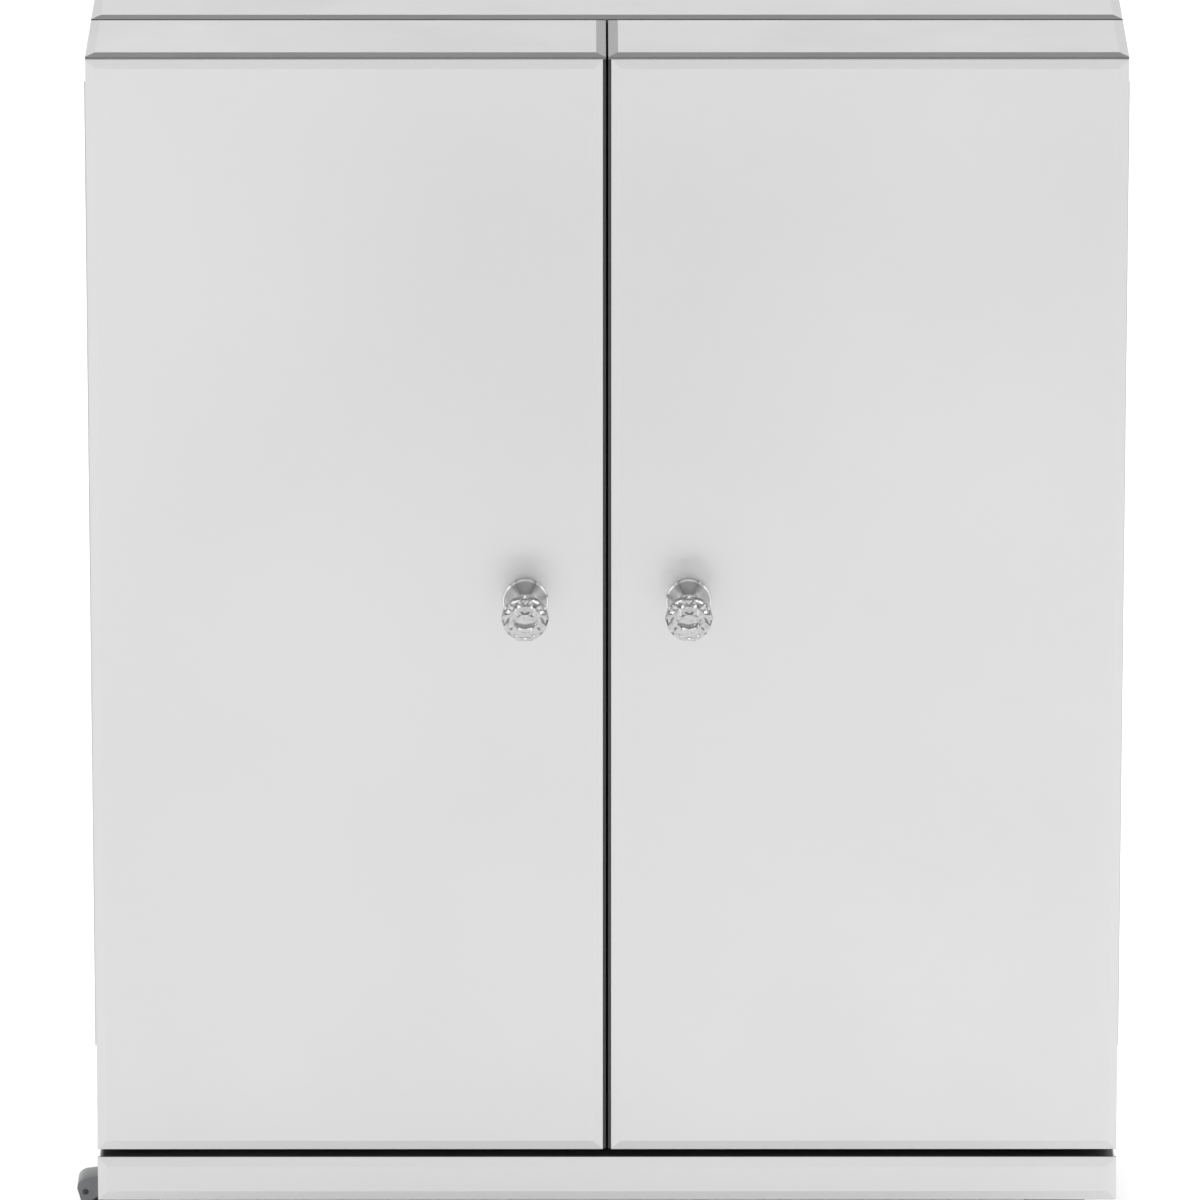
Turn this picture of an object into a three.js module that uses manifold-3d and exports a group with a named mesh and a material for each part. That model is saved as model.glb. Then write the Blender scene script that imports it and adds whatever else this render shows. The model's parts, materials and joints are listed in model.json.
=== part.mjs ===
// Mirrored two-door armoire on swivel casters. Millimetres, +X to the viewer's right, the
// doors face -Y, +Z up, the origin on the floor under the middle of the whole part.
import * as THREE from 'three';
import { ConvexGeometry } from 'three/addons/geometries/ConvexGeometry.js';
import { mergeVertices } from 'three/addons/utils/BufferGeometryUtils.js';
import Module from 'manifold-3d';

const wasm = await Module();
wasm.setup();

// ---- Driving dimensions -------------------------------------------------------------------
const WIDTH = 860; // over the two side mirrors
const DOOR_HEIGHT = 950; // underside of the doors to the top face of the top mirrors
const DOOR_DEPTH = 130; // front mirror face to the back edge of the door box
const SEAM = 4; // between the door boxes and the carcass, where the hinges lie
const CARCASS_DEPTH = 306; // seam to the rear face
const DOOR_GAP = 2; // between the two doors
const FRONT_MIRROR_GAP = 7; // between the two front mirrors, which stop short of the door edges
const UNDER_DOOR = 7; // between the doors and the platform
const PLATFORM_HEIGHT = 38;
const CASTER_HEIGHT = 78; // floor to the underside of the platform

const GLASS = 4; // mirror thickness
const BEVEL_WIDTH = 8;
const BEVEL_DEPTH = 2;
const FIT = 0.3; // gap between pieces that touch
const BOARD = 15; // carcass boards
const DOOR_BOARD = 12; // door box boards
const DOOR_PANEL = 9; // panel behind the front mirror
const BACK_PANEL = 6;

const SIDES = [['left', -1], ['right', 1]];
const HALF = WIDTH / 2;
const PLATFORM_TOP = CASTER_HEIGHT + PLATFORM_HEIGHT;
const DOOR_BOTTOM = PLATFORM_TOP + UNDER_DOOR;
const TOP = DOOR_BOTTOM + DOOR_HEIGHT;
const UNDER_TOP_GLASS = TOP - GLASS - FIT;
const INSIDE_GLASS = HALF - GLASS - FIT; // half width over the boards
const CARCASS_FRONT = DOOR_DEPTH + SEAM;
const REAR = CARCASS_FRONT + CARCASS_DEPTH;
const PANEL_BACK = GLASS + FIT + DOOR_PANEL;

// Knobs
const KNOB_X = 68; // from the middle of the armoire
const KNOB_HEIGHT = 0.508; // of the door height
const ROSETTE_RADIUS = 19;
const ROSETTE_LENGTH = 33;
const NECK_RADIUS = 6.5;
const SEAT_RADIUS = 11;
const CRYSTAL_RADIUS = 20;
const CRYSTAL_LENGTH = 38;
const SCREW_RADIUS = 2;
const SCREW_CLEARANCE = 0.6;
const SCREW_HEAD = 3;
const SCREW_IN_ROSETTE = 14;
const KNOB_REACH = ROSETTE_LENGTH + CRYSTAL_LENGTH + 2 * FIT;

// Full-length hinges
const PIN_OFFSET = 3.5; // pin axis outside the side mirror
const PIN_RADIUS = 1.5;
const BORE_RADIUS = 1.9;
const KNUCKLE_RADIUS = 3;
const KNUCKLES = 16; // of both leaves together
const KNUCKLE_GAP = 0.6;
const LEAF_WIDTH = 24;
const LEAF_THICKNESS = 1.2;
const HINGE_MARGIN = 50; // from the ends of the door

// Casters
const CASTER_INSET = 38.5; // swivel axis from the side
const CASTER_SETBACK = 84; // swivel axis from the front and the rear
const TRAIL = 24; // axle behind the swivel axis
const WHEEL_RADIUS = 30;
const WHEEL_WIDTH = 20;
const HOOD_WIDTH = 29;
const HOOD_SLOT = 23;
const HOOD_TOP = CASTER_HEIGHT - 2;
const HOOD_REAR = TRAIL + WHEEL_RADIUS + 5;
const HOOD_FRONT = -17;
const STEM_RADIUS = 5;
const STEM_TOP = CASTER_HEIGHT + 28;
const AXLE_RADIUS = 4;
const AXLE_BORE = 4.4;
const BOSS_RADIUS = 11;
const BOSS_PROUD = 0.8; // of the wheel's faces
const WEB_RECESS = 3;
const RIM_DEPTH = 7;
const TREAD_ROUND = 2;

// ---- Materials ----------------------------------------------------------------------------
const FINISHES = {
  mirror: { color: 0xd6d8d9, roughness: 0.04, metalness: 1 },
  blackBoard: { color: 0x1d1c1c, roughness: 0.5, metalness: 0 },
  chrome: { color: 0xc9ccce, roughness: 0.08, metalness: 1 },
  crystal: { color: 0xeef2f5, roughness: 0.02, metalness: 0 },
  steel: { color: 0x9a9c9d, roughness: 0.3, metalness: 1 },
  casterGrey: { color: 0x55575a, roughness: 0.45, metalness: 0 },
  tyre: { color: 0x2b2b2d, roughness: 0.8, metalness: 0 },
};

function piece(parent, name, geometry, finish) {
  const mesh = new THREE.Mesh(geometry, new THREE.MeshStandardMaterial(FINISHES[finish]));
  mesh.name = name;
  parent.add(mesh);
  return mesh;
}

// ---- Shapes -------------------------------------------------------------------------------
function box([x0, x1], [y0, y1], [z0, z1]) {
  const geometry = new THREE.BoxGeometry(x1 - x0, y1 - y0, z1 - z0);
  return geometry.translate((x0 + x1) / 2, (y0 + y1) / 2, (z0 + z1) / 2);
}

// From near to far on one side of the middle: side is -1 on the left and 1 on the right.
function across(side, near, far) {
  return side < 0 ? [-far, -near] : [near, far];
}

function toSolid(geometry) {
  const bare = geometry.clone();
  bare.deleteAttribute('normal');
  bare.deleteAttribute('uv');
  const merged = mergeVertices(bare, 1e-4);
  return new wasm.Manifold(new wasm.Mesh({
    numProp: 3,
    vertProperties: new Float32Array(merged.attributes.position.array),
    triVerts: new Uint32Array(merged.index.array),
  }));
}

function toGeometry(solid) {
  const mesh = solid.getMesh();
  const geometry = new THREE.BufferGeometry();
  geometry.setAttribute('position', new THREE.BufferAttribute(mesh.vertProperties, 3));
  geometry.setIndex(new THREE.BufferAttribute(mesh.triVerts, 1));
  geometry.computeVertexNormals();
  return geometry;
}

function cut(geometry, tools) {
  return toGeometry(tools.reduce((left, tool) => left.subtract(toSolid(tool)), toSolid(geometry)));
}

function join(geometries) {
  const [first, ...rest] = geometries.map(toSolid);
  return toGeometry(rest.reduce((whole, solid) => whole.add(solid), first));
}

// A cylinder along 'y' or 'z', from one end to the other.
function rod(radius, axis, [from, to], sides = 20) {
  const geometry = new THREE.CylinderGeometry(radius, radius, to - from, sides);
  geometry.translate(0, (from + to) / 2, 0);
  return axis === 'z' ? geometry.rotateX(Math.PI / 2) : geometry;
}

// A flat extrusion in the XZ plane, from y0 to y1.
function plate(outline, [y0, y1], curveSegments = 10) {
  const geometry = new THREE.ExtrudeGeometry(outline, { depth: y1 - y0, bevelEnabled: false, curveSegments });
  return geometry.rotateX(Math.PI / 2).translate(0, y1, 0);
}

function rectangle(shape, [x0, x1], [z0, z1]) {
  shape.moveTo(x0, z0);
  shape.lineTo(x1, z0);
  shape.lineTo(x1, z1);
  shape.lineTo(x0, z1);
  shape.closePath();
  return shape;
}

// A mirror lying in XY with its bevelled face up, its back at z = 0 and its middle at the origin.
function mirror(width, length) {
  const corners = [];
  const rings = [[0, 0], [0, GLASS - BEVEL_DEPTH], [BEVEL_WIDTH, GLASS]];
  for (const [inset, z] of rings) {
    for (const x of [inset - width / 2, width / 2 - inset]) {
      for (const y of [inset - length / 2, length / 2 - inset]) {
        corners.push(new THREE.Vector3(x, y, z));
      }
    }
  }
  return new ConvexGeometry(corners);
}

function middle([from, to]) {
  return (from + to) / 2;
}

function mirrorUp(xs, ys, zFace) {
  return mirror(xs[1] - xs[0], ys[1] - ys[0]).translate(middle(xs), middle(ys), zFace - GLASS);
}

function mirrorFront(xs, zs, yFace) {
  const geometry = mirror(xs[1] - xs[0], zs[1] - zs[0]).rotateX(Math.PI / 2);
  return geometry.translate(middle(xs), yFace + GLASS, middle(zs));
}

function mirrorSide(side, ys, zs) {
  const geometry = mirror(zs[1] - zs[0], ys[1] - ys[0]).rotateY(side * Math.PI / 2);
  return geometry.translate(side * (HALF - GLASS), middle(ys), middle(zs));
}

// ---- Hinge leaves -------------------------------------------------------------------------
const HINGE_SPAN = [DOOR_BOTTOM + HINGE_MARGIN, UNDER_TOP_GLASS - HINGE_MARGIN];
const PIN_Y = DOOR_DEPTH + SEAM / 2;
const DOOR_LEAF_Y = [DOOR_DEPTH + FIT, DOOR_DEPTH + FIT + LEAF_THICKNESS];
const CARCASS_LEAF_Y = [CARCASS_FRONT - FIT - LEAF_THICKNESS, CARCASS_FRONT - FIT];

// One leaf with every second knuckle, starting from the given one.
function hingeLeaf(side, ys, firstKnuckle) {
  const [bottom, top] = HINGE_SPAN;
  const pitch = (top - bottom) / KNUCKLES;
  const pinX = side * (HALF + PIN_OFFSET);
  const parts = [box(across(side, HALF - LEAF_WIDTH, HALF), ys, HINGE_SPAN)];
  for (let i = firstKnuckle; i < KNUCKLES; i += 2) {
    const zs = [bottom + i * pitch + KNUCKLE_GAP / 2, bottom + (i + 1) * pitch - KNUCKLE_GAP / 2];
    parts.push(rod(KNUCKLE_RADIUS, 'z', zs, 16).translate(pinX, PIN_Y, 0));
    parts.push(box(across(side, HALF - 1, HALF + PIN_OFFSET), ys, zs));
  }
  const bore = rod(BORE_RADIUS, 'z', [bottom - 1, top + 1], 16).translate(pinX, PIN_Y, 0);
  return cut(join(parts), [bore]);
}

function hingePin(side) {
  const [bottom, top] = HINGE_SPAN;
  return rod(PIN_RADIUS, 'z', [bottom - 1, top + 1], 12).translate(side * (HALF + PIN_OFFSET), PIN_Y, 0);
}

// ---- Carcass ------------------------------------------------------------------------------
const SHELF_HEIGHTS = [0.36, 0.68]; // of the door height
const SHELF_SETBACK = 4;
const CARCASS_FLOOR = PLATFORM_TOP + FIT;

function shelfZ(share, thickness) {
  const z = DOOR_BOTTOM + share * DOOR_HEIGHT;
  return [z, z + thickness];
}

function buildCarcass(armoire) {
  const boards = [-INSIDE_GLASS, INSIDE_GLASS];
  const depth = [CARCASS_FRONT, REAR - BACK_PANEL - FIT];
  const sideZ = [CARCASS_FLOOR + BOARD + FIT, UNDER_TOP_GLASS - BOARD - FIT];
  const topZ = [UNDER_TOP_GLASS - BOARD, UNDER_TOP_GLASS];
  const inner = INSIDE_GLASS - BOARD - FIT;

  piece(armoire, 'bottom_board', box(boards, depth, [CARCASS_FLOOR, CARCASS_FLOOR + BOARD]), 'blackBoard');
  piece(armoire, 'top_board', box(boards, depth, topZ), 'blackBoard');
  piece(armoire, 'back_panel', box(boards, [REAR - BACK_PANEL, REAR], [CARCASS_FLOOR, UNDER_TOP_GLASS]),
    'blackBoard');
  for (const [label, side] of SIDES) {
    const board = box(across(side, INSIDE_GLASS - BOARD, INSIDE_GLASS), depth, sideZ);
    piece(armoire, `${label}_side_board`, board, 'blackBoard');
    const glass = mirrorSide(side, [CARCASS_FRONT, REAR], [CARCASS_FLOOR, UNDER_TOP_GLASS]);
    piece(armoire, `${label}_side_mirror`, glass, 'mirror');
    piece(armoire, `${label}_carcass_hinge_leaf`, hingeLeaf(side, CARCASS_LEAF_Y, 1), 'steel');
    piece(armoire, `${label}_hinge_pin`, hingePin(side), 'steel');
  }
  piece(armoire, 'carcass_top_mirror', mirrorUp([-HALF, HALF], [CARCASS_FRONT, REAR], TOP), 'mirror');
  SHELF_HEIGHTS.forEach((share, i) => {
    const shelf = box([-inner, inner], [CARCASS_FRONT + SHELF_SETBACK, depth[1] - FIT], shelfZ(share, BOARD));
    piece(armoire, `carcass_shelf_${i + 1}`, shelf, 'blackBoard');
  });
  piece(armoire, 'magnetic_catch', catchBody(topZ[0] - FIT), 'casterGrey');
}

// The double catch under the top board holds both doors shut.
const CATCH = { halfWidth: 26, depth: 20, height: 14, lead: 1.5 };

function catchBody(top) {
  const ys = [CARCASS_FRONT - CATCH.lead, CARCASS_FRONT + CATCH.depth];
  return box([-CATCH.halfWidth, CATCH.halfWidth], ys, [top - CATCH.height, top]);
}

// ---- Platform -----------------------------------------------------------------------------
// heading: the way each caster trails, in degrees from +X.
const CASTERS = [
  { name: 'front_left', side: -1, y: CASTER_SETBACK, heading: 180 },
  { name: 'front_right', side: 1, y: CASTER_SETBACK, heading: 120 },
  { name: 'rear_left', side: -1, y: REAR - CASTER_SETBACK, heading: 60 },
  { name: 'rear_right', side: 1, y: REAR - CASTER_SETBACK, heading: 100 },
];
const SOCKET_CLEARANCE = 0.5;

function buildPlatform(armoire) {
  const zs = [CASTER_HEIGHT, PLATFORM_TOP];
  const board = box([-INSIDE_GLASS, INSIDE_GLASS], [GLASS + FIT, REAR], zs);
  const sockets = CASTERS.map(({ side, y }) => {
    const socket = rod(STEM_RADIUS + SOCKET_CLEARANCE, 'z', [CASTER_HEIGHT - 1, STEM_TOP + 1]);
    return socket.translate(side * (HALF - CASTER_INSET), y, 0);
  });
  piece(armoire, 'base_platform', cut(board, sockets), 'blackBoard');
  piece(armoire, 'base_front_mirror', mirrorFront([-HALF, HALF], zs, 0), 'mirror');
  for (const [label, side] of SIDES) {
    piece(armoire, `base_${label}_mirror`, mirrorSide(side, [GLASS + FIT, REAR], zs), 'mirror');
  }
}

// ---- Doors --------------------------------------------------------------------------------
const DOOR_SHELF_HEIGHTS = [0.4, 0.7];
const DOOR_SHELF_DEPTH = 100;
const RAIL_RADIUS = 4;
const RAIL_HEIGHTS = [0.09, 0.47]; // of the door height, one over the floor and one over the first shelf
const STRIKE = { width: 10, height: 22, thickness: 1 };

function buildDoor(armoire, label, side) {
  const door = new THREE.Group();
  armoire.add(door);
  const full = across(side, DOOR_GAP / 2, HALF);
  const face = across(side, FRONT_MIRROR_GAP / 2, HALF);
  const boards = across(side, DOOR_GAP / 2, INSIDE_GLASS);
  const zs = [DOOR_BOTTOM, UNDER_TOP_GLASS];
  const knobX = side * KNOB_X;
  const knobZ = DOOR_BOTTOM + KNOB_HEIGHT * DOOR_HEIGHT;
  const inner = across(side, DOOR_GAP / 2 + DOOR_BOARD + FIT, INSIDE_GLASS - DOOR_BOARD - FIT);

  const screwHole = rod(SCREW_RADIUS + SCREW_CLEARANCE, 'y', [-1, PANEL_BACK + 1]).translate(knobX, 0, knobZ);
  piece(door, `${label}_door_front_mirror`, cut(mirrorFront(face, zs, 0), [screwHole]), 'mirror');
  piece(door, `${label}_door_top_mirror`, mirrorUp(full, [0, DOOR_DEPTH], TOP), 'mirror');
  piece(door, `${label}_door_side_mirror`, mirrorSide(side, [GLASS + FIT, DOOR_DEPTH], zs), 'mirror');
  const panel = cut(box(boards, [GLASS + FIT, PANEL_BACK], zs), [screwHole]);
  piece(door, `${label}_door_panel`, panel, 'blackBoard');

  const ring = rectangle(new THREE.Shape(), boards, zs);
  const hollowX = across(side, DOOR_GAP / 2 + DOOR_BOARD, INSIDE_GLASS - DOOR_BOARD);
  ring.holes.push(rectangle(new THREE.Path(), hollowX, [zs[0] + DOOR_BOARD, zs[1] - DOOR_BOARD]));
  piece(door, `${label}_door_box`, plate(ring, [PANEL_BACK + FIT, DOOR_DEPTH]), 'blackBoard');

  const shelfY = [PANEL_BACK + FIT, PANEL_BACK + FIT + DOOR_SHELF_DEPTH];
  DOOR_SHELF_HEIGHTS.forEach((share, i) => {
    piece(door, `${label}_door_shelf_${i + 1}`, box(inner, shelfY, shelfZ(share, DOOR_BOARD)), 'blackBoard');
  });
  RAIL_HEIGHTS.forEach((share, i) => {
    const rail = rod(RAIL_RADIUS, 'y', [inner[0], inner[1]], 16).rotateZ(-Math.PI / 2);
    rail.translate(0, shelfY[1] - RAIL_RADIUS, DOOR_BOTTOM + share * DOOR_HEIGHT);
    piece(door, `${label}_door_rail_${i + 1}`, rail, 'chrome');
  });
  piece(door, `${label}_door_hinge_leaf`, hingeLeaf(side, DOOR_LEAF_Y, 0), 'steel');
  piece(door, `${label}_strike_plate`, strikePlate(side), 'steel');
  buildKnob(door, label, knobX, knobZ);
}

function strikePlate(side) {
  const xs = across(side, DOOR_GAP / 2 + 1, DOOR_GAP / 2 + 1 + STRIKE.width);
  const top = UNDER_TOP_GLASS - BOARD - FIT;
  return box(xs, [DOOR_DEPTH + FIT, DOOR_DEPTH + FIT + STRIKE.thickness], [top - STRIKE.height, top]);
}

// ---- Knobs --------------------------------------------------------------------------------
// Turned about Y: each profile runs from the axis to the axis as [radius, distance from the door].
function turned(profile, segments) {
  const points = profile.map(([radius, reach]) => new THREE.Vector2(radius, reach));
  return new THREE.LatheGeometry(points, segments).rotateX(Math.PI);
}

function rosetteProfile() {
  const bore = SCREW_RADIUS + SCREW_CLEARANCE / 2;
  const depth = SCREW_IN_ROSETTE + 1;
  const points = [[0, depth], [bore, depth], [bore, FIT], [ROSETTE_RADIUS, FIT], [ROSETTE_RADIUS, 2]];
  const steps = 6;
  for (let i = 1; i <= steps; i += 1) {
    const t = i / steps;
    const radius = NECK_RADIUS + (ROSETTE_RADIUS - 1 - NECK_RADIUS) * (1 - t) ** 2;
    points.push([radius, 2 + t * (ROSETTE_LENGTH - 8)]);
  }
  points.push([SEAT_RADIUS, ROSETTE_LENGTH - 2.5], [SEAT_RADIUS, ROSETTE_LENGTH], [0, ROSETTE_LENGTH]);
  return points;
}

// A cut ball: flat seat and table, with rings of facets between them.
function crystalProfile() {
  const start = ROSETTE_LENGTH + FIT;
  const centre = start + CRYSTAL_LENGTH / 2;
  const points = [[0, start]];
  const rings = 7;
  for (let i = 1; i <= rings; i += 1) {
    const angle = Math.PI * (i / (rings + 1) - 0.5);
    points.push([CRYSTAL_RADIUS * Math.cos(angle), centre + (CRYSTAL_LENGTH / 2) * Math.sin(angle)]);
  }
  points[1][1] = start;
  points[rings][1] = start + CRYSTAL_LENGTH;
  points.push([0, start + CRYSTAL_LENGTH]);
  return points;
}

function screwProfile() {
  const headRadius = 2.6 * SCREW_RADIUS;
  const seat = -PANEL_BACK - FIT;
  return [[0, seat - SCREW_HEAD], [headRadius, seat - SCREW_HEAD], [headRadius, seat],
    [SCREW_RADIUS, seat], [SCREW_RADIUS, SCREW_IN_ROSETTE], [0, SCREW_IN_ROSETTE]];
}

function buildKnob(door, label, x, z) {
  const knob = new THREE.Group();
  knob.position.set(x, 0, z);
  door.add(knob);
  piece(knob, `${label}_knob_rosette`, turned(rosetteProfile(), 32), 'chrome');
  piece(knob, `${label}_knob_crystal`, turned(crystalProfile(), 12), 'crystal');
  piece(knob, `${label}_knob_screw`, turned(screwProfile(), 16), 'steel');
}

// ---- Casters ------------------------------------------------------------------------------
// Each is drawn trailing towards +X, with its swivel axis on Z.
function hoodOutline() {
  const shape = new THREE.Shape();
  const cheek = 9; // half width of the cheeks round the axle
  const tail = WHEEL_RADIUS + 21; // lowest corner of the tail over the wheel
  shape.moveTo(HOOD_FRONT, HOOD_TOP - 3);
  shape.lineTo(HOOD_FRONT + 3, HOOD_TOP);
  shape.lineTo(TRAIL + cheek, HOOD_TOP);
  shape.lineTo(HOOD_REAR - 8, HOOD_TOP - 2);
  shape.quadraticCurveTo(HOOD_REAR, HOOD_TOP - 4, HOOD_REAR, HOOD_TOP - 11);
  shape.lineTo(HOOD_REAR - 4, tail);
  shape.lineTo(TRAIL + cheek + 4, tail + 9);
  shape.lineTo(TRAIL + cheek, WHEEL_RADIUS - 6);
  shape.quadraticCurveTo(TRAIL, WHEEL_RADIUS - 12, TRAIL - cheek, WHEEL_RADIUS - 6);
  shape.lineTo(HOOD_FRONT, HOOD_TOP - 14);
  return shape;
}

function casterFork() {
  const body = plate(hoodOutline(), [-HOOD_WIDTH / 2, HOOD_WIDTH / 2], 8);
  const stem = rod(STEM_RADIUS, 'z', [HOOD_TOP - 4, STEM_TOP - 1]);
  const slot = [-HOOD_SLOT / 2, HOOD_SLOT / 2];
  const wheelRoom = rod(WHEEL_RADIUS + 2, 'y', slot, 40).translate(TRAIL, 0, WHEEL_RADIUS);
  const below = box([TRAIL - WHEEL_RADIUS - 2, HOOD_REAR + 1], slot, [0, WHEEL_RADIUS]);
  const axleBore = rod(AXLE_BORE, 'y', [-HOOD_WIDTH, HOOD_WIDTH]).translate(TRAIL, 0, WHEEL_RADIUS);
  return cut(join([body, stem]), [wheelRoom, below, axleBore]);
}

function wheelProfile() {
  const face = WHEEL_WIDTH / 2;
  const boss = face + BOSS_PROUD;
  const web = face - WEB_RECESS;
  const rim = WHEEL_RADIUS - RIM_DEPTH;
  const crown = WHEEL_RADIUS - TREAD_ROUND;
  const half = [[AXLE_BORE, boss], [BOSS_RADIUS, boss], [BOSS_RADIUS, web], [rim - 1, web], [rim, face],
    [crown, face], [WHEEL_RADIUS, web]];
  const lower = half.map(([radius, reach]) => [radius, -reach]);
  return [...lower, ...half.reverse(), [AXLE_BORE, -boss]];
}

function buildCaster(armoire, { name, side, y, heading }) {
  const caster = new THREE.Group();
  caster.position.set(side * (HALF - CASTER_INSET), y, 0);
  caster.rotation.z = THREE.MathUtils.degToRad(heading);
  armoire.add(caster);
  piece(caster, `${name}_caster_fork`, casterFork(), 'casterGrey');
  const wheel = piece(caster, `${name}_caster_wheel`, turned(wheelProfile(), 40), 'tyre');
  wheel.position.set(TRAIL, 0, WHEEL_RADIUS);
  const axle = piece(caster, `${name}_caster_axle`, rod(AXLE_RADIUS, 'y', [-HOOD_WIDTH / 2, HOOD_WIDTH / 2]),
    'steel');
  axle.position.set(TRAIL, 0, WHEEL_RADIUS);
}

// ---- Assembly -----------------------------------------------------------------------------
const armoire = new THREE.Group();
armoire.position.y = (KNOB_REACH - REAR) / 2;
buildPlatform(armoire);
buildCarcass(armoire);
for (const [label, side] of SIDES) {
  buildDoor(armoire, label, side);
}
for (const caster of CASTERS) {
  buildCaster(armoire, caster);
}

export default armoire;
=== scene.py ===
"""Looks for the mirrored armoire: materials, finer knobs, casters and rails, light and camera.

Metres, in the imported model's frame: +X to the viewer's right, the doors face -Y, +Z up.
"""
import json
import math

import bmesh
import bpy
from mathutils import Matrix, Vector


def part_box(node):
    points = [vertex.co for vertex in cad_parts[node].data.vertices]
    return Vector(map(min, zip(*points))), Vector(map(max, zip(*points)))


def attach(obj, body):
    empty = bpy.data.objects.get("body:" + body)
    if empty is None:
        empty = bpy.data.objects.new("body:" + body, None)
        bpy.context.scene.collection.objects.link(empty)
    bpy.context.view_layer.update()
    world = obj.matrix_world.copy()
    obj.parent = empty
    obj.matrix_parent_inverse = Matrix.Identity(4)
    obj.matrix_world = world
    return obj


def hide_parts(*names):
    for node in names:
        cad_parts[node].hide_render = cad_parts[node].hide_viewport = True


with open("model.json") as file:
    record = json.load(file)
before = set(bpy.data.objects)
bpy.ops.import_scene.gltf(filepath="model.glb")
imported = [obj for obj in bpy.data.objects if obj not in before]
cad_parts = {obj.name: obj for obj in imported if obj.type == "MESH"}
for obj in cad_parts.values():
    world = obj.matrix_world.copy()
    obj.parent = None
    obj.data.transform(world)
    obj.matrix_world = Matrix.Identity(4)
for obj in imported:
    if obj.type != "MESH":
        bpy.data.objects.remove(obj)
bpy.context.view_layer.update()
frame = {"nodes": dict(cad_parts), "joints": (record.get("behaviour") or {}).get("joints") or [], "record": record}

NODES = frame["nodes"]
SIDES = {"left": -1, "right": 1}
CASTERS = ("front_left", "front_right", "rear_left", "rear_right")
MM = 0.001

# How finely a turned piece is divided round its axis
FINE_TURN = 96
MEDIUM_TURN = 40
SMALL_TURN = 24

# Places in the material list of a mirror; the two end places take darker copies of the silver, as painted shade
FLAT, GROUND_EDGE, SHADED_OUTER_END, SHADED_MIDDLE_END = range(4)

# Crystal balls: facets round the axis, and the latitudes of their rings in degrees
FACETS_AROUND = 12
TABLE_ANGLE = 66
RING_ANGLES = (-38, -17, 4, 25, 46, TABLE_ANGLE)

# Casters, measured from the wheel's centre
WHEEL = {"radius": 30 * MM, "half_width": 10 * MM, "hub": 9 * MM, "bore": 4.4 * MM, "rim": 22.5 * MM}
WHEEL_RIBS = 6
FORK_HALF_WIDTH = 14.5 * MM
RIVET_TRAIL = 28 * MM
RIVET_HEIGHT = 32 * MM
RIVET_RADIUS = 2.6 * MM

# Hinge screws, and how far the open face of a leaf stands from the axis of the pin
SCREWS_PER_LEAF = 9
SCREW_INSET = 9 * MM
SCREW_RADIUS = 3.2 * MM
SCREW_HEIGHT = 0.3 * MM
LEAF_FACE_FROM_PIN = 0.5 * MM

# Magnets in the catch
MAGNET_WIDTH = 8 * MM
MAGNET_DEPTH = 0.6 * MM
MAGNET_SHARE_OF_HEIGHT = 0.6

# Light: the sky's brightness by degrees above the horizon, and the strengths
SKY_STOPS = ((0, 1.0), (29, 1.0), (37, 0.2), (50, 0.18), (60, 0.66), (90, 0.66))
SKY_STRENGTH = 1.37
CEILING_STRENGTH = 2.3
CEILING_SPREAD = 70
SOFTBOX_POWER = 9
FILL_POWER = 7
FLOOR_HALF = 40.0

# Camera: almost square on to the doors, looking down at the top; pitch and yaw in degrees
CAMERA_DISTANCE = 10.0
CAMERA_X = -0.0132
CAMERA_HEIGHT = 3.4803
CAMERA_PITCH = 16.037
CAMERA_YAW = -0.042
CAMERA_LENS = 374.54
SENSOR_WIDTH = 36


# ---- Small helpers ------------------------------------------------------------------------
def centre_of(node):
    low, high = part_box(node)
    return (low + high) / 2


def size_of(node):
    low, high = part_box(node)
    return high - low


def joint(name):
    """The frame's entry for a joint: its position, axis and range."""
    return next(j for j in frame["joints"] if j["name"] == name)


def mesh_object(name, bm, body, material_list, place=None, smooth_below=35):
    """A new piece from a bmesh, put in place, smoothed below an angle and riding on a body."""
    bmesh.ops.recalc_face_normals(bm, faces=bm.faces)
    mesh = bpy.data.meshes.new(name)
    bm.to_mesh(mesh)
    bm.free()
    if place is not None:
        mesh.transform(place)
    smooth(mesh, smooth_below)
    obj = bpy.data.objects.new(name, mesh)
    bpy.context.scene.collection.objects.link(obj)
    for material in material_list:
        mesh.materials.append(material)
    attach(obj, body)
    return obj


def smooth(mesh, degrees):
    """Smooth shading, with every edge sharper than the angle left sharp."""
    mesh.polygons.foreach_set("use_smooth", [True] * len(mesh.polygons))
    mesh.set_sharp_from_angle(angle=math.radians(degrees))


def add_lathe(bm, profile, segments, material_index=0):
    """Adds a solid turned about +Y. The profile is [(radius, y)], from axis to axis or closed."""
    closed = profile[0] == profile[-1]
    points = profile[:-1] if closed else profile
    rings = []
    for radius, y in points:
        if radius < 1e-7:
            rings.append([bm.verts.new((0, y, 0))])
            continue
        ring = []
        for i in range(segments):
            angle = math.tau * i / segments
            ring.append(bm.verts.new((radius * math.cos(angle), y, radius * math.sin(angle))))
        rings.append(ring)
    pairs = list(zip(rings, rings[1:]))
    if closed:
        pairs.append((rings[-1], rings[0]))
    for a, b in pairs:
        for i in range(segments):
            j = (i + 1) % segments
            corners = [a[i % len(a)], a[j % len(a)], b[j % len(b)], b[i % len(b)]]
            distinct = list(dict.fromkeys(corners))
            if len(distinct) > 2:
                bm.faces.new(distinct).material_index = material_index


def add_bar(bm, place, size, material_index=0):
    """A small block with its middle at the origin of its place."""
    verts = bmesh.ops.create_cube(bm, size=1)["verts"]
    bmesh.ops.scale(bm, vec=size, verts=verts)
    bmesh.ops.transform(bm, matrix=place, verts=verts)
    for vert in verts:
        for face in vert.link_faces:
            face.material_index = material_index


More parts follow.
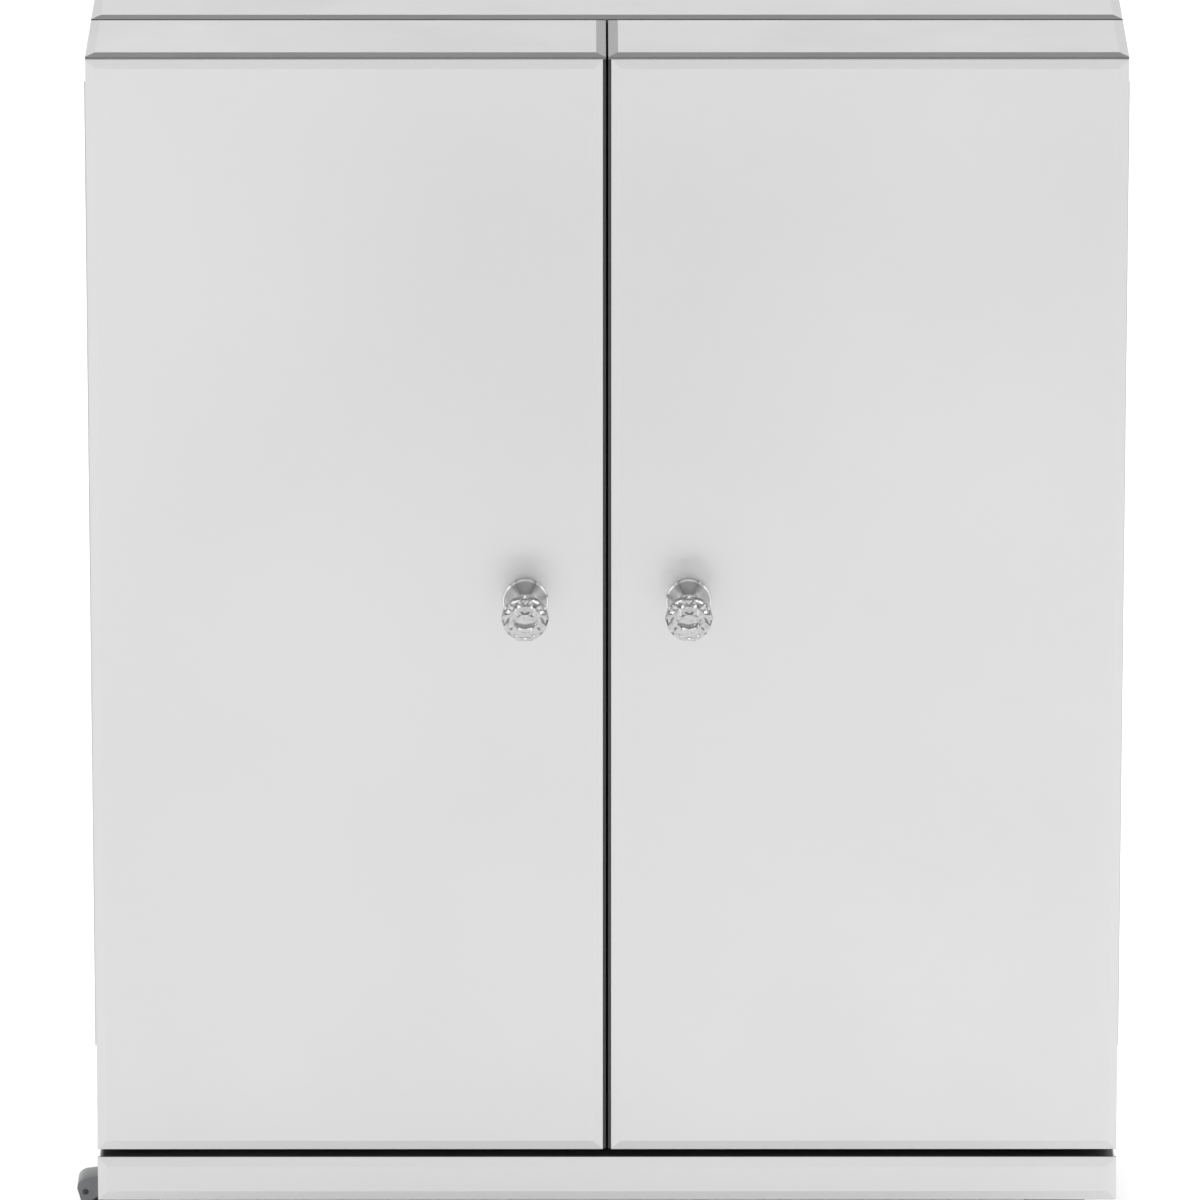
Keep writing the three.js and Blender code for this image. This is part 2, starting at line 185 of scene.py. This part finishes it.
def arc(centre, radius, start, end, steps):
    """Points on an arc in (radius, y), angles in degrees from the radius direction towards y."""
    points = []
    for i in range(steps + 1):
        angle = math.radians(start + (end - start) * i / steps)
        points.append((centre[0] + radius * math.cos(angle), centre[1] + radius * math.sin(angle)))
    return points


# ---- Materials ----------------------------------------------------------------------------
class Shader:
    """A Principled material with a few shorthands for building its node tree."""

    def __init__(self, name, **values):
        self.material = bpy.data.materials.new(name)
        self.material.use_nodes = True
        self.tree = self.material.node_tree
        self.bsdf = self.tree.nodes["Principled BSDF"]
        for socket, value in values.items():
            self.bsdf.inputs[socket.replace("_", " ")].default_value = value
        self.place = self.tree.nodes.new("ShaderNodeTexCoord").outputs["Object"]

    def node(self, kind, **inputs):
        made = self.tree.nodes.new(kind)
        for socket, value in inputs.items():
            self.feed(value, made.inputs[socket.replace("_", " ")])
        return made

    def feed(self, value, socket):
        if isinstance(value, bpy.types.NodeSocket):
            self.tree.links.new(value, socket)
        else:
            socket.default_value = value

    def stretched(self, scale):
        mapping = self.node("ShaderNodeMapping", Vector=self.place)
        mapping.inputs["Scale"].default_value = scale
        return mapping.outputs["Vector"]

    def noise(self, scale, detail=3.0, rough=0.55, vector=None, distortion=0.0):
        made = self.node("ShaderNodeTexNoise", Vector=vector or self.place, Scale=scale, Detail=detail,
                         Roughness=rough, Distortion=distortion)
        return made.outputs["Fac"]

    def ramp(self, factor, stops):
        made = self.node("ShaderNodeValToRGB", Fac=factor)
        elements = made.color_ramp.elements
        while len(elements) < len(stops):
            elements.new(0.5)
        for element, (position, colour) in zip(elements, stops):
            element.position = position
            element.color = (*colour, 1) if len(colour) == 3 else (colour[0],) * 3 + (1,)
        return made.outputs["Color"]

    def spread(self, factor, low, high, from_low=0.35, from_high=0.65):
        made = self.node("ShaderNodeMapRange", Value=factor)
        made.inputs["From Min"].default_value = from_low
        made.inputs["From Max"].default_value = from_high
        made.inputs["To Min"].default_value = low
        made.inputs["To Max"].default_value = high
        return made.outputs["Result"]

    def colour(self, value):
        self.feed(value, self.bsdf.inputs["Base Color"])
        return self

    def roughness(self, value):
        self.feed(value, self.bsdf.inputs["Roughness"])
        return self

    def bump(self, height, strength, distance):
        made = self.node("ShaderNodeBump", Height=height, Strength=strength, Distance=distance)
        self.tree.links.new(made.outputs["Normal"], self.bsdf.inputs["Normal"])
        return self


def mirror_silver(name, painted_shade=1.0):
    """Silvered float glass: even, faintly clouded, with the slow waviness of float glass.

    The factor dims colour and tint as painted shade: darker copies of the same silver for the bevels at the ends
    of the top mirrors, standing in for the dimmer reflections those bevels catch.
    """
    shader = Shader(name, Metallic=1.0, Specular_Tint=(0.92 * painted_shade, 0.92 * painted_shade, 0.92 * painted_shade, 1))
    cloud = shader.noise(1.6, detail=2.0, rough=0.5)
    shader.colour(shader.ramp(cloud, [(0.3, (0.475 * painted_shade,)), (0.7, (0.515 * painted_shade,))]))
    haze = shader.noise(9.0, detail=6.0, rough=0.65)
    shader.roughness(shader.spread(haze, 0.285, 0.325))
    wave = shader.noise(2.2, detail=1.0, vector=shader.stretched((1.0, 1.0, 0.35)))
    shader.bump(wave, 0.06, 0.002)
    return shader.material


def glass_edge():
    """The ground edge of the mirror glass, dark green-grey over its black backing."""
    shader = Shader("glass_edge", Coat_Weight=0.6, Coat_Roughness=0.12)
    grind = shader.noise(900.0, detail=2.0)
    shader.colour(shader.ramp(grind, [(0.3, (0.05, 0.054, 0.053)), (0.75, (0.108, 0.115, 0.113))]))
    shader.roughness(shader.spread(grind, 0.28, 0.45))
    shader.bump(grind, 0.15, 0.0002)
    return shader.material


def black_satin():
    """Satin black paint rolled over board, with a faint grain showing through."""
    shader = Shader("black_satin", Specular_IOR_Level=0.35, Coat_Weight=0.05, Coat_Roughness=0.35)
    along = shader.stretched((0.35, 6.0, 9.0))
    grain = shader.noise(30.0, detail=6.0, rough=0.6, vector=along, distortion=0.6)
    peel = shader.noise(650.0, detail=2.0)
    shader.colour(shader.ramp(grain, [(0.3, (0.024, 0.0235, 0.023)), (0.7, (0.038, 0.037, 0.036))]))
    shader.roughness(shader.spread(grain, 0.36, 0.5))
    both = shader.node("ShaderNodeMath")
    both.operation = "MULTIPLY_ADD"
    shader.feed(grain, both.inputs[0])
    both.inputs[1].default_value = 0.6
    shader.feed(peel, both.inputs[2])
    shader.bump(both.outputs[0], 0.22, 0.0004)
    return shader.material


def chrome():
    """Polished chrome with faint smears."""
    shader = Shader("chrome", Metallic=1.0)
    smear = shader.noise(160.0, detail=4.0)
    shader.colour(shader.ramp(smear, [(0.3, (0.52, 0.52, 0.525)), (0.7, (0.60, 0.60, 0.60))]))
    shader.roughness(shader.spread(smear, 0.035, 0.09))
    return shader.material


def crystal():
    """Clear lead crystal: the cut facets do the work, with a trace of wear on them."""
    shader = Shader("crystal", Transmission_Weight=0.93, IOR=1.54)
    wear = shader.noise(420.0, detail=3.0)
    shader.colour(shader.ramp(wear, [(0.35, (0.83, 0.83, 0.835)), (0.65, (0.88, 0.88, 0.88))]))
    shader.roughness(shader.spread(wear, 0.0, 0.015))
    return shader.material


def brushed_steel():
    """Steel brushed upwards, as on long hinge leaves."""
    shader = Shader("brushed_steel", Metallic=1.0)
    brush = shader.noise(60.0, detail=5.0, vector=shader.stretched((40.0, 40.0, 1.0)))
    shader.colour(shader.ramp(brush, [(0.3, (0.30, 0.30, 0.30)), (0.7, (0.42, 0.42, 0.41))]))
    shader.roughness(shader.spread(brush, 0.24, 0.38))
    shader.bump(brush, 0.08, 0.0002)
    return shader.material


def moulded(name, dark, light, rough, grain=900.0):
    """Moulded plastic or rubber with a fine spark-eroded grain and slight mottling."""
    shader = Shader(name)
    mottle = shader.noise(70.0, detail=4.0)
    pits = shader.noise(grain, detail=2.0)
    shader.colour(shader.ramp(mottle, [(0.3, dark), (0.7, light)]))
    shader.roughness(shader.spread(mottle, rough - 0.06, rough + 0.06))
    shader.bump(pits, 0.3, 0.0002)
    return shader.material


MIRROR = mirror_silver("mirror_silver")
# The end bevels of the top mirrors: the same silver dimmed as painted shade, more in the middle than at the outer
# ends
OUTER_BEVEL_SHADED = mirror_silver("mirror_outer_bevel_painted_shade", 0.94)
MIDDLE_BEVEL_SHADED = mirror_silver("mirror_middle_bevel_painted_shade", 0.72)
EDGE = glass_edge()
BLACK = black_satin()
CHROME = chrome()
CRYSTAL = crystal()
STEEL = brushed_steel()
CASTER_GREY = moulded("caster_nylon", (0.09, 0.092, 0.095), (0.12, 0.122, 0.125), 0.42)
HUB_GREY = moulded("wheel_hub_nylon", (0.07, 0.07, 0.073), (0.095, 0.095, 0.1), 0.42)
TREAD = moulded("wheel_tread", (0.022, 0.022, 0.024), (0.036, 0.036, 0.038), 0.68, grain=1400.0)
DARK_RUBBER_AND_SHADE = moulded("seat_rubber_and_screw_shade", (0.012, 0.012, 0.012), (0.02, 0.02, 0.02), 0.45)
CATCH_BLACK = moulded("catch_plastic", (0.018, 0.018, 0.019), (0.03, 0.03, 0.031), 0.5)

SLOT_MATERIALS = {
    "mirror": MIRROR,
    "black_board": BLACK,
    "chrome": CHROME,
    "crystal": CRYSTAL,
    "steel": STEEL,
    "caster_grey": CASTER_GREY,
    "catch_plastic": CATCH_BLACK,
    "tyre": TREAD,
}


# ---- CAD nodes that stay ------------------------------------------------------------------
def paint_mirror(obj):
    """Silver on the face and its bevels, ground glass on the four edges and the back.

    On the top mirrors the bevels at the ends get darker copies of the silver as painted shade, darkest on the
    bevels in the middle.
    """
    mesh = obj.data
    mesh.materials.clear()
    for material in (MIRROR, EDGE, OUTER_BEVEL_SHADED, MIDDLE_BEVEL_SHADED):
        mesh.materials.append(material)
    low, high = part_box(obj.name)
    sizes = high - low
    thin = min(range(3), key=lambda axis: sizes[axis])
    outward = 1 if (low + high)[thin] > 0 else -1
    if thin == 1:
        outward = -1
    for face in mesh.polygons:
        facing = face.normal[thin] * outward
        face.material_index = FLAT if facing > 0.5 else GROUND_EDGE
        # Upward side bevels on the top mirrors take the painted-shade copies of the silver
        if thin == 2 and facing > 0.5 and abs(face.normal.x) > 0.1:
            outer = face.normal.x * (low.x + high.x) > 0 or obj.name == "carcass_top_mirror"
            face.material_index = SHADED_OUTER_END if outer else SHADED_MIDDLE_END


def paint_frame():
    """Gives every CAD node the material of its slot."""
    for entry in frame["record"]["subparts"]:
        obj = NODES[entry["node"]]
        slot = entry["material_slot"]
        if slot == "mirror":
            paint_mirror(obj)
        else:
            obj.data.materials.clear()
            obj.data.materials.append(SLOT_MATERIALS[slot])


def soften_edges():
    """A small round on every board, fork and catch edge, except on the panels with a screw hole."""
    widths = {"black_board": 0.8 * MM, "caster_grey": 1.3 * MM, "catch_plastic": 1.0 * MM}
    for entry in frame["record"]["subparts"]:
        if entry["material_slot"] not in widths or entry["node"].endswith("_door_panel"):
            continue
        obj = NODES[entry["node"]]
        weld = obj.modifiers.new("weld", "WELD")
        weld.merge_threshold = 0.01 * MM
        bevel = obj.modifiers.new("round", "BEVEL")
        bevel.width = widths[entry["material_slot"]]
        bevel.segments = 3
        bevel.limit_method = "ANGLE"
        bevel.angle_limit = math.radians(40)
        bevel.harden_normals = True
        smooth(obj.data, 40)


# ---- Knobs --------------------------------------------------------------------------------
def facing_doors(origin):
    """Places a piece turned about +Y so that its +Y runs out of the door, towards -Y."""
    return Matrix.Translation(origin) @ Matrix.Rotation(math.pi, 4, "X")


def rosette(label):
    """A chrome trumpet: a rolled rim on the glass, a concave cone, a dark seat ring and a foil."""
    node = f"{label}_knob_rosette"
    low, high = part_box(node)
    centre = centre_of(node)
    rim = size_of(node).x / 2
    length = high.y - low.y
    neck = 0.42 * rim
    seat = 0.62 * rim
    lip = 0.7 * MM
    bore = 2.3 * MM
    washer = 2.4 * MM
    flare_start = 2 * lip
    flare_end = length - 7.5 * MM
    profile = [(0, 0.55 * length), (bore, 0.55 * length), (bore, 0), (rim - lip, 0)]
    profile += arc((rim - lip, lip), lip, -90, 70, 8)
    steps = 22
    for i in range(1, steps + 1):
        t = i / steps
        radius = neck + (rim - 1.2 * lip - neck) * (1 - t) ** 1.5
        profile.append((radius, flare_start + (flare_end - flare_start) * t))
    cup_end = length - washer
    cup_steps = 8
    for i in range(1, cup_steps + 1):
        t = i / cup_steps
        radius = neck + (seat - neck) * math.sin(t * math.pi / 2)
        profile.append((radius, flare_end + (cup_end - flare_end) * t * t))
    profile.append((0, cup_end))
    bm = bmesh.new()
    add_lathe(bm, profile, FINE_TURN)
    edge = 0.6 * MM
    ring_radius = seat + 0.4 * MM
    ring = [(0, cup_end), (seat - edge, cup_end), (ring_radius, cup_end + edge),
            (ring_radius, length - edge), (seat - edge, length), (0, length)]
    add_lathe(bm, ring, FINE_TURN, 1)
    foil = seat - 2.0 * MM
    foil_face = length + 0.15 * MM
    add_lathe(bm, [(0, length), (foil, length), (foil, foil_face), (0, foil_face)], FINE_TURN)
    place = facing_doors(Vector((centre.x, high.y, centre.z)))
    obj = mesh_object(f"{label}_rosette_turned", bm, f"{label}_door", [CHROME, DARK_RUBBER_AND_SHADE], place, 32)
    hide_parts(node)


def cut_crystal(label):
    """A cut ball on a short collar: staggered rings of triangular facets up to a flat table."""
    node = f"{label}_knob_crystal"
    seat_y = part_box(node)[1].y
    centre = centre_of(node)
    radius = size_of(node).x / 2
    length = size_of(node).y
    collar = 0.58 * radius
    ball = length - radius * math.sin(math.radians(TABLE_ANGLE))
    sections = [(collar, 0), (collar * 0.96, ball - radius * 0.86)]
    for latitude in RING_ANGLES:
        angle = math.radians(latitude)
        sections.append((radius * math.cos(angle), ball + radius * math.sin(angle)))
    bm = bmesh.new()
    rings = []
    for level, (ring_radius, y) in enumerate(sections):
        lead = 0.5 * (level % 2) if level > 1 else 0
        ring = []
        for i in range(FACETS_AROUND):
            angle = math.tau * (i + lead) / FACETS_AROUND
            ring.append(bm.verts.new((ring_radius * math.cos(angle), y, ring_radius * math.sin(angle))))
        rings.append(ring)
    for level, (a, b) in enumerate(zip(rings, rings[1:])):
        for i in range(FACETS_AROUND):
            j = (i + 1) % FACETS_AROUND
            if level < 2:
                bm.faces.new((a[i], a[j], b[j], b[i]))
            elif level % 2:
                bm.faces.new((a[i], b[j], b[i]))
                bm.faces.new((a[i], a[j], b[j]))
            else:
                bm.faces.new((a[i], a[j], b[i]))
                bm.faces.new((a[j], b[j], b[i]))
    bm.faces.new(rings[0])
    bm.faces.new(rings[-1])
    place = facing_doors(Vector((centre.x, seat_y, centre.z)))
    obj = mesh_object(f"{label}_crystal_cut", bm, f"{label}_door", [CRYSTAL], place, 1)
    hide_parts(node)


# ---- Door rails ---------------------------------------------------------------------------
def rail(label, number):
    """A chrome rod between two turned sockets on the sides of the door box."""
    node = f"{label}_door_rail_{number}"
    centre = centre_of(node)
    length = size_of(node).x
    radius = size_of(node).z / 2
    flange = 2.1 * radius
    flange_edge = 1.6 * MM
    round_over = 1.0 * MM
    half = length / 2
    profile = [(0, -half), (flange, -half), (flange, -half + flange_edge)]
    profile += arc((flange - round_over, -half + flange_edge), round_over, 0, 90, 4)
    profile += [(1.35 * radius, -half + flange_edge + round_over), (1.3 * radius, -half + 9 * MM),
                (radius, -half + 9.6 * MM)]
    profile += [(r, -y) for r, y in reversed(profile)]
    bm = bmesh.new()
    add_lathe(bm, profile, MEDIUM_TURN)
    turn = Matrix.Translation(centre) @ Matrix.Rotation(-math.pi / 2, 4, "Z")
    obj = mesh_object(f"{label}_rail_{number}_turned", bm, f"{label}_door", [CHROME], turn, 32)
    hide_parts(node)


# ---- Casters ------------------------------------------------------------------------------
def caster_frame(name):
    """Local axes at the wheel's centre: X along the trail, Y along the axle, Z up."""
    swivel = Vector(joint(f"{name}_swivel")["pos_m"])
    roll = joint(f"{name}_roll")
    hub = Vector(roll["pos_m"])
    axle = Vector(roll["axis"])
    trail = Vector((hub.x - swivel.x, hub.y - swivel.y, 0)).normalized()
    place = Matrix((trail, axle, Vector((0, 0, 1)))).transposed().to_4x4()
    return Matrix.Translation(hub) @ place


def wheel(name):
    """A nylon hub with spokes inside a soft tread, turned about the axle."""
    w = WHEEL
    half = w["half_width"]
    web = 2.2 * MM
    boss = half + 0.7 * MM
    crown = 2.5 * MM
    tread_half = half - 0.2 * MM
    tread = [(w["rim"], -half + 0.6 * MM), (w["radius"] - crown, -tread_half)]
    tread += arc((w["radius"] - crown, -tread_half + crown), crown, -90, 0, 8)
    tread += arc((w["radius"] - crown, tread_half - crown), crown, 0, 90, 8)
    tread += [(w["rim"], half - 0.6 * MM), (w["rim"], -half + 0.6 * MM)]
    bm = bmesh.new()
    add_lathe(bm, tread, FINE_TURN, 1)
    inner = w["rim"] - 2.8 * MM
    outer = w["rim"] - 0.05 * MM
    draft = 0.8 * MM
    hub = [(w["bore"], -boss), (w["hub"] - 1 * MM, -boss), (w["hub"], -boss + 1 * MM),
           (w["hub"] + draft, -web), (inner - draft, -web), (inner, -half + draft), (outer, -half + draft)]
    hub += [(r, -y) for r, y in reversed(hub)]
    hub.append(hub[0])
    add_lathe(bm, hub, FINE_TURN)
    rib_size = (inner - w["hub"] + 1.0 * MM, 2 * half - 4.5 * MM, 1.8 * MM)
    rib_place = Matrix.Translation(((inner + w["hub"]) / 2, 0, 0))
    for i in range(WHEEL_RIBS):
        add_bar(bm, Matrix.Rotation(math.tau * i / WHEEL_RIBS, 4, "Y") @ rib_place, rib_size)
    node = f"{name}_caster_wheel"
    place = caster_frame(name)
    obj = mesh_object(f"{name}_wheel_spoked", bm, f"{name}_wheel", [HUB_GREY, TREAD], place, 35)
    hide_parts(node)


def axle(name):
    """A riveted axle with a domed head at each side of the fork."""
    node = f"{name}_caster_axle"
    half = FORK_HALF_WIDTH
    head = 6.2 * MM
    dome = 1.5 * MM
    shaft = 3.9 * MM
    under_head = half + 0.1 * MM
    end = [(0, half + dome), (0.45 * head, half + 0.86 * dome), (0.8 * head, half + 0.5 * dome),
           (head, under_head), (shaft, under_head)]
    profile = [(r, -y) for r, y in end] + list(reversed(end))
    bm = bmesh.new()
    add_lathe(bm, profile, MEDIUM_TURN)
    obj = mesh_object(f"{name}_axle_riveted", bm, f"{name}_fork", [STEEL], caster_frame(name), 40)
    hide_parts(node)


# ---- Screws, rivets and magnets -----------------------------------------------------------
def add_head(bm, place, radius, height):
    """A round head, dished in the middle, standing on the XZ plane of its place."""
    start = len(bm.verts)
    profile = [(0, 0.6 * height), (0.22 * radius, 0.6 * height), (0.3 * radius, height),
               (0.7 * radius, 0.86 * height), (0.95 * radius, 0.43 * height), (radius, 0), (0, 0)]
    add_lathe(bm, profile, SMALL_TURN)
    bm.verts.ensure_lookup_table()
    bmesh.ops.transform(bm, matrix=place, verts=bm.verts[start:])


def leaf_screws(label, owner, body, outward):
    """Flat cross-head screws down the free side of a hinge leaf, on its open face; each cross is a pair of dark
    bars, painted shade standing in for the recess.
    """
    low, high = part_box(f"{label}_{owner}_hinge_leaf")
    inner_edge = low.x if label == "right" else high.x
    x = inner_edge + SIDES[label] * SCREW_INSET
    pin_y = joint(f"{label}_door_hinge")["pos_m"][1]
    leaf_face = pin_y - outward * LEAF_FACE_FROM_PIN
    bm = bmesh.new()
    for i in range(SCREWS_PER_LEAF):
        z = low.z + (high.z - low.z) * (i + 0.5) / SCREWS_PER_LEAF
        place = Matrix.Translation((x, leaf_face, z))
        if outward < 0:
            place = place @ Matrix.Rotation(math.pi, 4, "X")
        add_head(bm, place, SCREW_RADIUS, SCREW_HEIGHT)
        # The cross is two near-black bars through the head: painted shade where a real recess is dark only from
        # shade
        for degrees in (45, 135):
            turn = Matrix.Rotation(math.radians(degrees), 4, "Y")
            add_bar(bm, place @ turn, (SCREW_RADIUS, 2.3 * SCREW_HEIGHT, 0.25 * SCREW_RADIUS), 1)
    obj = mesh_object(f"{label}_{owner}_leaf_screws", bm, body, [STEEL, DARK_RUBBER_AND_SHADE], None, 40)


def hood_rivets(name):
    """A dark rivet near the tail of the hood, on each side."""
    bm = bmesh.new()
    for flip, y in ((0, FORK_HALF_WIDTH), (math.pi, -FORK_HALF_WIDTH)):
        place = Matrix.Translation((RIVET_TRAIL, y, RIVET_HEIGHT)) @ Matrix.Rotation(flip, 4, "X")
        add_head(bm, place, RIVET_RADIUS, 0.42 * RIVET_RADIUS)
    obj = mesh_object(f"{name}_hood_rivets", bm, f"{name}_fork", [DARK_RUBBER_AND_SHADE], caster_frame(name), 40)


def catch_magnets():
    """Two steel-faced magnets in the front of the catch, one for each door's strike plate."""
    low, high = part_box("magnetic_catch")
    bm = bmesh.new()
    for side in SIDES:
        strike = centre_of(f"{side}_strike_plate")
        place = Matrix.Translation((strike.x, low.y, (low.z + high.z) / 2))
        add_bar(bm, place, (MAGNET_WIDTH, MAGNET_DEPTH, MAGNET_SHARE_OF_HEIGHT * (high.z - low.z)))
    obj = mesh_object("catch_magnets", bm, "carcass", [STEEL], None, 40)


# ---- Stage --------------------------------------------------------------------------------
def floor():
    """A plain pale floor, far wider than the view."""
    bm = bmesh.new()
    corners = [(-FLOOR_HALF, -FLOOR_HALF, 0), (FLOOR_HALF, -FLOOR_HALF, 0),
               (FLOOR_HALF, FLOOR_HALF, 0), (-FLOOR_HALF, FLOOR_HALF, 0)]
    bm.faces.new([bm.verts.new(corner) for corner in corners])
    mesh = bpy.data.meshes.new("floor")
    bm.to_mesh(mesh)
    bm.free()
    obj = bpy.data.objects.new("floor", mesh)
    bpy.context.scene.collection.objects.link(obj)
    shader = Shader("floor_paint", Specular_IOR_Level=0.1)
    mottle = shader.noise(0.8, detail=3.0)
    shader.colour(shader.ramp(mottle, [(0.3, (0.92,)), (0.7, (0.94,))]))
    shader.roughness(0.9)
    mesh.materials.append(shader.material)


def sky():
    """A white studio: bright up to 29 degrees, a dim band above that, a grey ceiling overhead."""
    world = bpy.data.worlds.new("studio")
    bpy.context.scene.world = world
    world.use_nodes = True
    tree = world.node_tree
    tree.nodes.clear()
    place = tree.nodes.new("ShaderNodeTexCoord")
    split = tree.nodes.new("ShaderNodeSeparateXYZ")
    ramp = tree.nodes.new("ShaderNodeValToRGB")
    background = tree.nodes.new("ShaderNodeBackground")
    output = tree.nodes.new("ShaderNodeOutputWorld")
    tree.links.new(place.outputs["Generated"], split.inputs[0])
    tree.links.new(split.outputs["Z"], ramp.inputs["Fac"])
    tree.links.new(ramp.outputs["Color"], background.inputs["Color"])
    tree.links.new(background.outputs[0], output.inputs[0])
    elements = ramp.color_ramp.elements
    while len(elements) < len(SKY_STOPS):
        elements.new(0.5)
    for element, (elevation, value) in zip(elements, SKY_STOPS):
        element.position = math.sin(math.radians(elevation))
        element.color = (value, value, value, 1)
    background.inputs["Strength"].default_value = SKY_STRENGTH


def lamp(name, kind, energy, location, target, **settings):
    """A light turned towards its target."""
    data = bpy.data.lights.new(name, kind)
    data.energy = energy
    for key, value in settings.items():
        setattr(data, key, value)
    obj = bpy.data.objects.new(name, data)
    obj.location = location
    obj.rotation_euler = (Vector(target) - Vector(location)).to_track_quat("-Z", "Y").to_euler()
    bpy.context.scene.collection.objects.link(obj)
    return obj


def lights():
    """A broad overhead sun kept out of reflections, two softboxes and two side fills."""
    spread = math.radians(CEILING_SPREAD)
    ceiling = lamp("ceiling", "SUN", CEILING_STRENGTH, (0, 0, 5), (0, 0, 0), angle=spread)
    ceiling.visible_glossy = False
    for label, side in SIDES.items():
        lamp(f"softbox_{label}", "AREA", SOFTBOX_POWER, (side * 2.6, -2.4, 2.9), (0, 0, 0.7),
             shape="RECTANGLE", size=1.2, size_y=1.8)
        lamp(f"fill_{label}", "AREA", FILL_POWER, (side * 1.7, 0.1, 1.7), (side * 0.6, 0, 0),
             shape="RECTANGLE", size=1.0, size_y=1.4)


def camera():
    """A long lens, far in front of the doors and well above the top."""
    data = bpy.data.cameras.new("camera")
    data.lens = CAMERA_LENS
    data.sensor_width = SENSOR_WIDTH
    data.clip_end = 200
    obj = bpy.data.objects.new("camera", data)
    door_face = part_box("left_door_front_mirror")[0].y
    obj.location = (CAMERA_X, door_face - CAMERA_DISTANCE, CAMERA_HEIGHT)
    obj.rotation_euler = (math.radians(90 - CAMERA_PITCH), 0, math.radians(CAMERA_YAW))
    bpy.context.scene.collection.objects.link(obj)
    bpy.context.scene.camera = obj


# ---- Assembly -----------------------------------------------------------------------------
paint_frame()
soften_edges()
for side_label in SIDES:
    rosette(side_label)
    cut_crystal(side_label)
    for rail_number in (1, 2):
        rail(side_label, rail_number)
    leaf_screws(side_label, "door", f"{side_label}_door", 1)
    leaf_screws(side_label, "carcass", "carcass", -1)
for caster_name in CASTERS:
    wheel(caster_name)
    axle(caster_name)
    hood_rivets(caster_name)
catch_magnets()
for cad_object in NODES.values():
    if cad_object.data.materials[0] in (STEEL, CHROME):
        smooth(cad_object.data, 40)
floor()
sky()
lights()
camera()
scene = bpy.context.scene
scene.view_settings.view_transform = "Standard"
scene.view_settings.look = "None"

bpy.context.view_layer.update()
